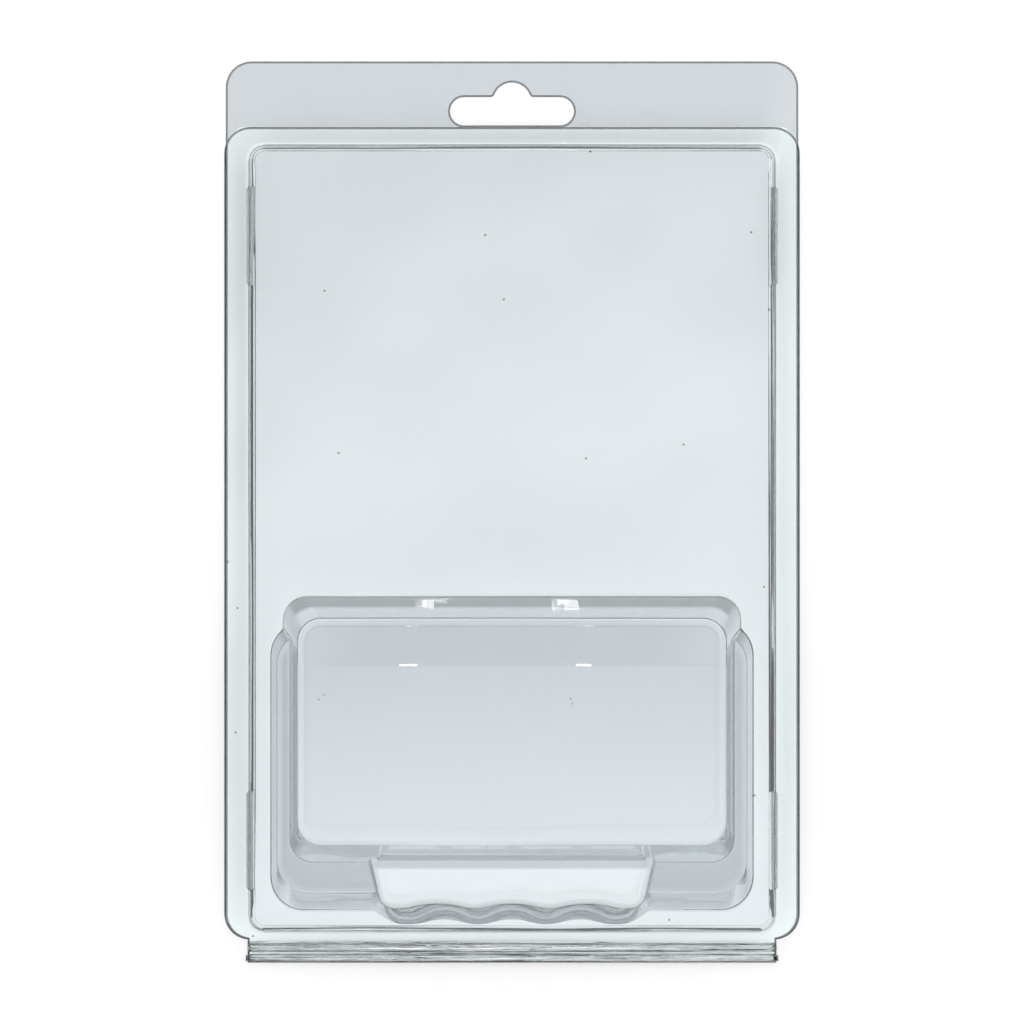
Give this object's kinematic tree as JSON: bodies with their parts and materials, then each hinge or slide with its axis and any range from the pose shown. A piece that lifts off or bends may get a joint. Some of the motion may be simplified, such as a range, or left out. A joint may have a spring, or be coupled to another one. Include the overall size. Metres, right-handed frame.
{
  "type": "clear protector case",
  "caption": "Clear thermoformed clamshell for a carded toy: flat back with hang tab, deep stepped bubble with a scalloped foot, and a beaded film hinge along the bottom.",
  "frame": {"origin": "under the middle of the closed case, on the plane of the back flange's outer face", "axes": "+X across the case, +Y from the film hinge to the hang tab, +Z from the back flange to the face of the toy bubble"},
  "size_m": [0.1222, 0.1914, 0.0398],
  "materials": {
    "clear_film": "clear glossy film with a faint blue-grey cast"
  },
  "bodies": {
    "back": {"back_half": "clear_film"},
    "lid": {"front_half": "clear_film"}
  },
  "joints": [
    {"name": "lid_hinge", "type": "hinge", "parent": "back", "child": "lid", "pos_m": [0, -0.0957, 0.00045], "axis": [1, 0, 0], "range_deg": [0, 116]}
  ]
}
